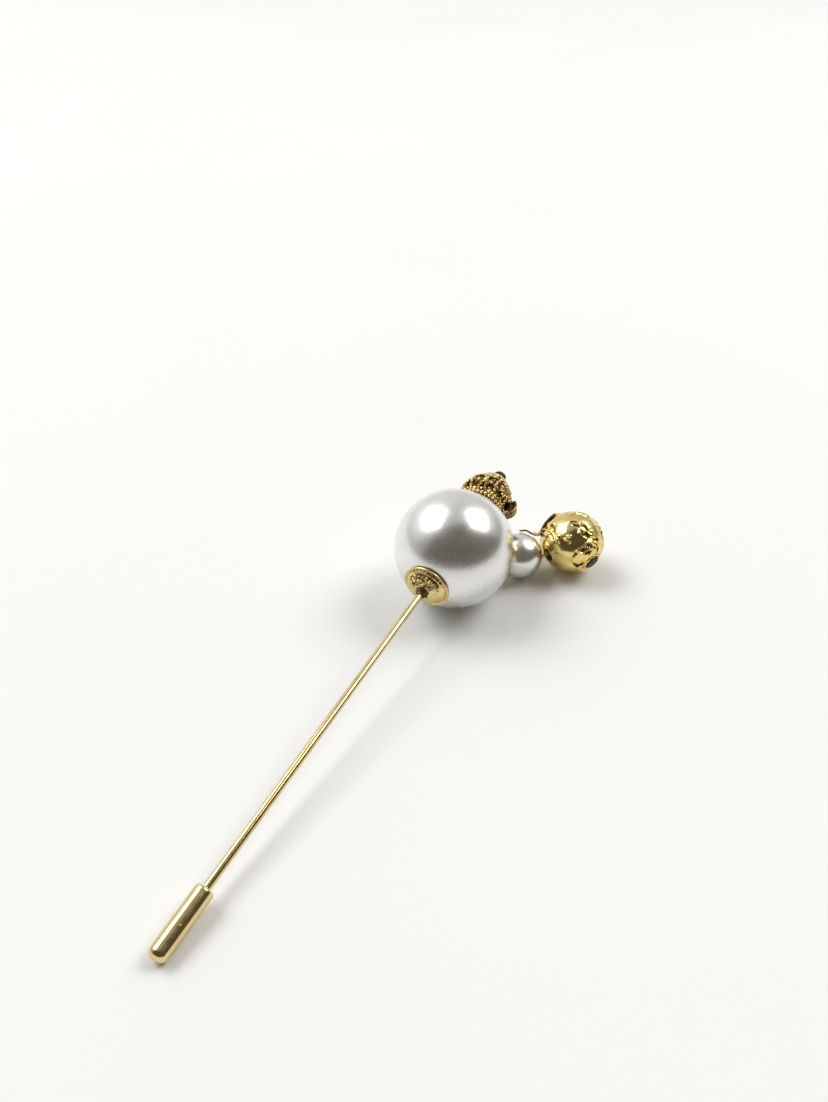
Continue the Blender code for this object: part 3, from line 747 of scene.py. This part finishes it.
def make_scroll():
    """Ribbed strap that stands off the finial's side and ends in a flat lip."""
    beside = azimuth_about(FINIAL, PEG_AXIS)
    toward_up = (azimuth_about(FINIAL, Vector((0, 0, 1))) - beside + pi) % TURN - pi
    azimuth = beside + radians(42.0 if toward_up > 0 else -42.0)
    centre_r, centre_z, bow_r = 4.18, 12.35, 1.62

    def spot(angle, sideways, lift):
        outward = centre_r + (bow_r + lift) * cos(angle)
        height = centre_z + (bow_r + lift) * 1.15 * sin(angle)
        return (outward * cos(azimuth) - sideways * sin(azimuth),
                outward * sin(azimuth) + sideways * cos(azimuth), height)

    angles = np.radians(np.linspace(-78, 58, 40))
    grids = []
    rows = []
    for a in angles:
        rows.append([spot(a, s, lift) for s, lift in ((-0.66, -0.2), (0.66, -0.2), (0.70, -0.05), (0.66, 0.06),
                                                      (-0.66, 0.06), (-0.70, -0.05))])
    # The strap under the ribs is dark: painted shade between them.
    grids.append((np.array(rows), 0.25, False, True, True))
    for sideways, radius in ((-0.62, 0.17), (-0.32, 0.14), (0.0, 0.16), (0.32, 0.14), (0.62, 0.17)):
        grids.append(rope_grid([spot(a, sideways, 0.08) for a in angles], radius, 0.46, sides=10))
    curl = []
    for i in range(36):
        t = i / 35
        a = radians(58) + t * 4.2
        size = 0.50 * (1 - 0.55 * t)
        base = np.array(spot(radians(58), 0.0, -0.45))
        outward = np.array((cos(azimuth), sin(azimuth), 0.0))
        curl.append(base + outward * size * cos(a) * 0.9 + np.array((0, 0, 1.0)) * size * sin(a))
    for sideways in (-0.36, 0.0, 0.36):
        shift = np.array((-sin(azimuth), cos(azimuth), 0.0)) * sideways
        grids.append(rope_grid(np.array(curl) + shift, 0.17, 0.5, sides=8))
    # The core fills the curl in dark brown: painted shade inside the curl.
    core = []
    for sideways, size in ((-0.60, 0.05), (-0.58, 0.80), (-0.2, 1.0), (0.2, 1.0), (0.58, 0.80), (0.60, 0.05)):
        row = []
        for around in np.linspace(0.0, TURN, 20, endpoint=False):
            outward = centre_r + 0.55 + 0.98 * size * cos(around)
            height = centre_z - 0.10 + 1.30 * size * sin(around)
            row.append((outward * cos(azimuth) - sideways * sin(azimuth),
                        outward * sin(azimuth) + sideways * cos(azimuth), height))
        core.append(row)
    grids.append((np.array(core), 0.15, False, True, True))
    lip = []
    for a in np.radians(np.linspace(-84, -52, 10)):
        lip.append([spot(a, s, lift) for s, lift in ((-0.86, -0.28), (0.86, -0.28), (0.9, -0.12), (0.86, 0.10),
                                                     (-0.86, 0.10), (-0.9, -0.12))])
    grids.append((np.array(lip), 0.8, False, True, True))
    points, faces, tones = join_grids(grids)
    item = finish_mesh("finial_scroll", points, faces, FINIAL, gold_patina_and_shade, tones)
    keep(item, "antique_gold", "pin", "finial_side_scroll")


make_scroll()


# --- sprig ---
def make_dish():
    centre = PEARL_R + GAP - DISH_CROWN_R
    hole = np.degrees(asin((WIRE_R + GAP) / DISH_CROWN_R))
    rim = np.degrees(asin(DISH_R / DISH_CROWN_R))
    profile = arc(0.0, centre, DISH_CROWN_R, hole, rim - 0.2, 14)
    profile += arc(DISH_R - 0.04, centre + sqrt(DISH_CROWN_R ** 2 - DISH_R ** 2) + 0.12, 0.12, 160, 20, 6)
    profile += arc(0.0, centre, DISH_CROWN_R + DISH_SHEET, rim - 0.2, hole, 14)
    item = turned("sprig_dish", profile, PEG, gold_dish, 96, ring=True, smooth_angle=50.0)
    keep(item, "polished_gold", "pin", "side_dish")
    carried("sprig_wire", gold_wire)


make_dish()


# --- bead with its relief ---
def unit(*values):
    v = np.array(values, float)
    return v / np.linalg.norm(v)


def distance_to(points, stations):
    """Chord distance, on the unit ball, from each point to a smooth line of stations."""
    line = smooth_path([unit(*s) for s in stations], 5 * (len(stations) - 1) + 1)
    line /= np.linalg.norm(line, axis=1)[:, None]
    best = np.full(len(points), 9.0)
    for a, b in zip(line, line[1:]):
        ab = b - a
        t = np.clip(((points - a) @ ab) / (ab @ ab), 0.0, 1.0)
        best = np.minimum(best, np.linalg.norm(points - (a + t[:, None] * ab), axis=1))
    return best


# Raised edges of the leaf and flower relief: stations on the unit ball, rise in mm, half width.
RIDGES = (
    (((-0.25, 0.07, 0.97), (-0.18, -0.02, 0.98), (-0.17, -0.16, 0.97), (-0.28, -0.27, 0.92)), 0.16, 0.035),
    (((-0.17, -0.27, 0.95), (-0.12, -0.39, 0.91), (-0.15, -0.50, 0.85), (-0.17, -0.57, 0.80)), 0.17, 0.040),
    (((-0.33, -0.32, 0.89), (-0.44, -0.34, 0.83), (-0.50, -0.42, 0.76)), 0.20, 0.040),
    (((-0.34, -0.41, 0.85), (-0.23, -0.56, 0.80), (-0.14, -0.68, 0.72)), 0.16, 0.035),
    (((-0.28, -0.59, 0.76), (-0.23, -0.69, 0.68), (-0.18, -0.82, 0.54)), 0.12, 0.030),
    (((-0.79, -0.45, 0.43), (-0.72, -0.53, 0.45), (-0.63, -0.59, 0.51), (-0.51, -0.65, 0.57), (-0.40, -0.73, 0.56)),
     0.24, 0.040),
    (((-0.40, -0.73, 0.56), (-0.31, -0.82, 0.48), (-0.16, -0.86, 0.49), (-0.08, -0.92, 0.38)), 0.24, 0.040),
    (((-0.80, -0.48, 0.37), (-0.74, -0.61, 0.30), (-0.61, -0.70, 0.37), (-0.50, -0.76, 0.42)), 0.22, 0.038),
    (((-0.50, -0.76, 0.42), (-0.39, -0.86, 0.32), (-0.23, -0.91, 0.34)), 0.22, 0.038),
    (((-0.31, -0.82, 0.48), (-0.34, -0.85, 0.39), (-0.34, -0.91, 0.22)), 0.20, 0.035),
    (((-0.57, 0.54, 0.61), (-0.69, 0.40, 0.60), (-0.80, 0.26, 0.54)), 0.16, 0.035),
    (((-0.72, 0.22, 0.66), (-0.78, 0.20, 0.59), (-0.84, 0.15, 0.52)), 0.16, 0.030),
    (((-0.62, 0.60, 0.51), (-0.73, 0.47, 0.49), (-0.81, 0.39, 0.43)), 0.14, 0.035),
    (((-0.67, 0.10, 0.74), (-0.68, -0.02, 0.73), (-0.67, -0.13, 0.73)), 0.16, 0.032),
    (((-0.67, -0.13, 0.73), (-0.76, -0.01, 0.65), (-0.78, -0.10, 0.62), (-0.77, -0.19, 0.60)), 0.18, 0.032),
    (((-0.79, -0.53, -0.29), (-0.57, -0.64, -0.52), (-0.47, -0.77, -0.44)), 0.22, 0.050),
    (((-0.90, -0.43, -0.04), (-0.92, -0.40, 0.05), (-0.89, -0.42, 0.18), (-0.84, -0.49, 0.24)), 0.14, 0.045),
    (((-0.16, 0.96, 0.22), (-0.39, 0.76, 0.52), (-0.54, 0.54, 0.65)), 0.14, 0.045),
    (((0.03, 0.90, 0.43), (-0.30, 0.69, 0.66), (-0.33, 0.56, 0.76)), 0.14, 0.045),
    (((0.20, -0.92, 0.35), (0.10, -0.98, 0.12), (-0.05, -0.98, 0.10)), 0.18, 0.045),
    (((0.42, -0.90, 0.10), (0.46, -0.86, -0.20), (0.30, -0.86, -0.42)), 0.18, 0.050),
    (((0.30, -0.60, 0.74), (0.45, -0.70, 0.55), (0.40, -0.86, 0.30)), 0.18, 0.045),
    (((0.10, 0.20, 0.97), (0.35, 0.05, 0.93), (0.50, -0.25, 0.83)), 0.15, 0.050),
    (((-0.22, 0.96, 0.15), (-0.08, 0.95, 0.31), (0.04, 0.90, 0.43), (0.17, 0.81, 0.56), (0.28, 0.69, 0.67)),
     0.30, 0.110),
)
# Undercut edges and hollows beside them: stations, drop in mm, half width.
HOLLOWS = (
    (((-0.34, -0.07, 0.94), (-0.31, -0.20, 0.93), (-0.32, -0.28, 0.91)), 0.20, 0.030),
    (((-0.22, -0.28, 0.93), (-0.17, -0.39, 0.89), (-0.20, -0.50, 0.83), (-0.22, -0.56, 0.78)), 0.20, 0.028),
    (((-0.40, -0.48, 0.78), (-0.36, -0.62, 0.70), (-0.24, -0.80, 0.56)), 0.28, 0.055),
    (((-0.77, -0.50, 0.40), (-0.70, -0.60, 0.39), (-0.64, -0.65, 0.41)), 0.34, 0.050),
    (((-0.52, -0.70, 0.49), (-0.45, -0.76, 0.46), (-0.42, -0.81, 0.40)), 0.34, 0.048),
    (((-0.22, -0.89, 0.40), (-0.21, -0.94, 0.29), (-0.28, -0.94, 0.21)), 0.34, 0.045),
    (((-0.67, -0.68, 0.29), (-0.57, -0.77, 0.27)), 0.26, 0.050),
    (((-0.90, -0.43, -0.09), (-0.87, -0.48, -0.15), (-0.82, -0.55, -0.18), (-0.77, -0.62, -0.16), (-0.73, -0.68, -0.10)),
     0.42, 0.042),
    (((-0.61, 0.46, 0.64), (-0.72, 0.32, 0.62)), 0.16, 0.030),
    (((-0.66, 0.53, 0.53), (-0.76, 0.40, 0.51)), 0.18, 0.035),
    (((-0.72, 0.06, 0.69), (-0.73, -0.06, 0.68)), 0.20, 0.030),
    (((-0.80, -0.06, 0.60), (-0.80, -0.16, 0.57)), 0.16, 0.030),
    (((-0.62, -0.70, -0.36), (-0.52, -0.76, -0.39)), 0.26, 0.050),
    (((-0.28, 0.84, 0.47), (-0.45, 0.66, 0.60)), 0.16, 0.045),
    (((0.36, -0.80, 0.48), (0.30, -0.93, 0.20)), 0.25, 0.055),
    (((0.25, 0.00, 0.97), (0.38, -0.30, 0.87)), 0.20, 0.055),
)
WIRE_HOLE = (-0.88, 0.47, -0.13)
SPIKE = ((-0.80, 0.55, -0.22), (-0.73, 0.59, -0.34), (-0.63, 0.60, -0.49))


def half_turn(strokes):
    """The same relief a half turn round the bead, without what lies near its top."""
    turned_strokes = []
    for stations, amount, width in strokes:
        if max(z for x, y, z in stations) < 0.70:
            turned_strokes.append((tuple((-x, -y, z) for x, y, z in stations), amount, width))
    return tuple(turned_strokes)


def make_bead():
    bm = bmesh.new()
    bmesh.ops.create_icosphere(bm, subdivisions=BEAD_LEVEL, radius=1.0)
    bm.verts.ensure_lookup_table()
    points = np.array([v.co for v in bm.verts])
    faces = [[v.index for v in f.verts] for f in bm.faces]
    bm.free()
    warp = np.array([noise.noise_vector(Vector(p) * 7.0) for p in points])
    fine = np.array([noise.noise(Vector(p) * 13.0 + Vector((3, 1, 7))) for p in points])
    wide = np.array([noise.noise(Vector(p) * 3.0 + Vector((1, 8, 2))) for p in points])
    warped = points + 0.030 * warp
    height = 0.05 * wide

    def patch(centre, size):
        d = np.linalg.norm(points - unit(*centre), axis=1)
        return np.exp(-(d / size) ** 4)

    torn = patch((-0.22, -0.40, 0.88), 0.30) + patch((-0.45, -0.75, 0.42), 0.34) + patch((0.3, -0.8, 0.4), 0.3)
    torn = np.clip(torn, 0.0, 1.0)
    height += torn * 0.09 * fine
    for stations, rise, width in RIDGES + half_turn(RIDGES):
        height += rise * np.exp(-(distance_to(warped, stations) / width) ** 2)
    height = np.minimum(height, 0.26)
    for stations, drop, width in HOLLOWS + half_turn(HOLLOWS):
        height -= drop * np.exp(-(distance_to(warped, stations) / width) ** 2)
    hole = np.linalg.norm(points - unit(*WIRE_HOLE), axis=1)
    height -= 0.60 * np.exp(-(hole / 0.17) ** 6)
    height += 0.07 * np.exp(-((hole - 0.23) / 0.045) ** 2)
    height -= 0.35 * np.exp(-(distance_to(warped, SPIKE) / 0.035) ** 2)
    # Painted shade: brown in the hollows and undercuts and near black in the wire hole; slightly darker on the torn
    # patches.
    tone = np.clip(0.72 + 3.6 * height - 0.25 * torn, 0.0, 1.0)
    tone = np.where(hole < 0.21, 0.0, tone)
    # Painted shade: the setting pocket and the side pocket are brown.
    for axis, radius in ((SETTING_AXIS, SETTING_R + 0.12), (Vector(SIDE_AXIS), 0.66)):
        away = np.linalg.norm(points - np.array(axis.normalized()), axis=1) * BEAD_R
        inside = np.clip((radius - away) / 0.18, 0.0, 1.0)
        height = height * (1 - inside) - 0.75 * inside
        tone = np.minimum(tone, 1.0 - 0.9 * inside)
    out = points * (BEAD_R - 0.06 + height)[:, None]
    item = finish_mesh("nugget_shell", out.tolist(), faces, BEAD, gold_nugget, tone, 180.0)
    keep(item, "polished_gold", "pin", "nugget_bead")


BEAD_LEVEL = 7
SIDE_AXIS = (0.159, -0.980, -0.121)
make_bead()


def make_setting():
    """Scalloped collet with a flat dark stone."""
    columns = 120
    angles = np.arange(columns) * TURN / columns
    scallop = np.abs(np.sin(angles * 4.5))
    outline = [(0.0, 4.64, 0.0), (1.60, 4.64, 0.0), (1.76, 4.80, 0.0), (1.76, 5.04, 0.2), (1.68, 5.22, 0.7),
               (1.56, 5.32, 1.0), (1.45, 5.32, 1.0), (1.38, 5.24, 0.6), (1.34, 4.84, 0.0), (0.0, 4.84, 0.0)]
    grid = np.zeros((len(outline), columns, 3))
    for i, (r, z, share) in enumerate(outline):
        radius = r - 0.07 * share * (1 - scallop)
        grid[i] = np.stack([radius * np.cos(angles), radius * np.sin(angles), z - 0.12 * share * (1 - scallop)], axis=1)
    # Painted shade: the collet is bright along its top rim, darker down its outside and darkest inside under the stone.
    tone = np.array([0.3, 0.3, 0.3, 0.6, 0.9, 1.0, 1.0, 0.7, 0.1, 0.1])[:, None] + 0 * angles
    points, faces, tones = join_grids([(grid, tone, False, True, False)])
    item = finish_mesh("setting_collet", points, faces, SETTING, gold_nugget, tones, 50.0)
    keep(item, "polished_gold", "pin", "stone_setting")
    profile = [(0.0, 4.88), (1.24, 4.88), (1.28, 5.10), (1.28, 5.36), (1.20, 5.46), (0.6, 5.50), (0.0, 5.51)]
    item = turned("setting_gem", profile, SETTING, stone, 8 * 6, smooth_angle=25.0)
    keep(item, "dark_stone", "pin", "setting_stone")
    carried("side_stone", stone)


make_setting()


def make_leaf_edge():
    """The leaf's own shape, subdivided and slightly crinkled, brown underneath as painted shade."""
    source = frame["nodes"]["nugget_leaf"].data
    bm = bmesh.new()
    bm.from_mesh(source)
    bmesh.ops.remove_doubles(bm, verts=bm.verts, dist=1e-6)
    bmesh.ops.subdivide_edges(bm, edges=bm.edges, cuts=1, use_grid_fill=True)
    back = BEAD.inverted()
    points = [back @ v.co for v in bm.verts]
    normals = [v.normal.copy() for v in bm.verts]
    bm.verts.index_update()
    faces = [[v.index for v in f.verts] for f in bm.faces]
    bm.free()
    tones = []
    for i, p in enumerate(points):
        wave = lump(p.x, p.y, p.z, 2.4, 3.0)
        # Tone is higher where the leaf faces out from the bead: painted shade on its underside.
        outward = normals[i].dot(Vector(p).normalized())
        tones.append(0.95 + 0.35 * outward + 0.7 * wave)
        points[i] = p + normals[i] * 0.035 * wave
    item = finish_mesh("nugget_leaf_edge", points, faces, BEAD, gold_patina_and_shade, tones, 70.0)
    keep(item, "polished_gold", "pin", "nugget_leaf")


make_leaf_edge()


# --- table, light and camera ---
def make_table():
    rings = [0.0, 0.05, 0.1, 0.2, 0.4, 0.8, 1.6, 3.0]
    grid = lathe_grid([(r / MM, 0.0) for r in rings], 96)
    points, faces, tones = join_grids([(grid, 1.0, False, True, False)])
    top = finish_mesh("table_top", points, faces, Matrix.Scale(MM, 4), table_top("table_top"))
    for polygon in top.data.polygons:
        if polygon.normal.z < 0:
            top.data.flip_normals()
            break


make_table()


def softbox(name, direction, distance, width, height, power, colour=(1.0, 1.0, 1.0)):
    data = bpy.data.lights.new(name, "AREA")
    data.shape = "RECTANGLE"
    data.size = width
    data.size_y = height
    data.energy = power
    data.color = colour
    lamp = bpy.data.objects.new(name, data)
    bpy.context.collection.objects.link(lamp)
    direction = Vector(direction).normalized()
    lamp.location = PEARL_CENTRE + direction * distance
    lamp.rotation_euler = direction.to_track_quat("Z", "Y").to_euler()
    return lamp


LAMP_DISTANCE = 1.5
softbox("light_left", (-0.02, 0.57, 0.72), LAMP_DISTANCE, 0.96, 0.78, 11.2)
softbox("light_right", (0.47, -0.38, 0.71), LAMP_DISTANCE, 0.88, 0.76, 10.6)
softbox("glow_left", (-0.02, 0.78, 0.56), LAMP_DISTANCE * 1.3, 2.4, 1.6, 2.6)
softbox("glow_right", (0.68, -0.42, 0.54), LAMP_DISTANCE * 1.3, 1.7, 1.3, 1.4)

# A pale room with a darker, warmer side low down behind the viewer.
world = bpy.data.worlds.new("studio")
bpy.context.scene.world = world
world.use_nodes = True
tree = world.node_tree
background = tree.nodes["Background"]
sky_place = tree.nodes.new("ShaderNodeTexCoord")
facing = tree.nodes.new("ShaderNodeVectorMath")
facing.operation = "DOT_PRODUCT"
facing.inputs[1].default_value = (-0.68, -0.73, 0.0)
tree.links.new(sky_place.outputs["Generated"], facing.inputs[0])
sky = tree.nodes.new("ShaderNodeValToRGB")
SKY = (
    (0.00, (0.76, 0.76, 0.72)),
    (0.38, (0.38, 0.38, 0.37)),
    (0.51, (0.37, 0.37, 0.36)),
    (0.60, (0.092, 0.080, 0.060)),
    (1.00, (0.080, 0.068, 0.050)),
)
while len(sky.color_ramp.elements) < len(SKY):
    sky.color_ramp.elements.new(0.5)
for element, (position, colour) in zip(sky.color_ramp.elements, SKY):
    element.position = position
    element.color = (*colour, 1.0)
half = tree.nodes.new("ShaderNodeMath")
half.operation = "MULTIPLY_ADD"
half.inputs[1].default_value = 0.5
half.inputs[2].default_value = 0.5
tree.links.new(facing.outputs["Value"], half.inputs[0])
tree.links.new(half.outputs["Value"], sky.inputs["Fac"])
height_part = tree.nodes.new("ShaderNodeSeparateXYZ")
tree.links.new(sky_place.outputs["Generated"], height_part.inputs["Vector"])
overhead = tree.nodes.new("ShaderNodeMapRange")
overhead.inputs["From Min"].default_value = 0.25
overhead.inputs["From Max"].default_value = 1.0
overhead.inputs["To Min"].default_value = 1.0
overhead.inputs["To Max"].default_value = 1.15
tree.links.new(height_part.outputs["Z"], overhead.inputs["Value"])
tree.links.new(sky.outputs["Color"], background.inputs["Color"])
tree.links.new(overhead.outputs["Result"], background.inputs["Strength"])

camera_data = bpy.data.cameras.new("camera")
camera_data.sensor_width = 36.0
camera_data.lens = 30.48
camera_data.clip_start = 0.01
camera = bpy.data.objects.new("camera", camera_data)
bpy.context.collection.objects.link(camera)
camera.location = CAMERA_PLACE
LOOK = Vector((0.6782, 0.3804, -0.6288))
camera.rotation_euler = LOOK.to_track_quat("-Z", "Y").to_euler()
bpy.context.scene.camera = camera
bpy.context.scene.view_settings.view_transform = "Standard"
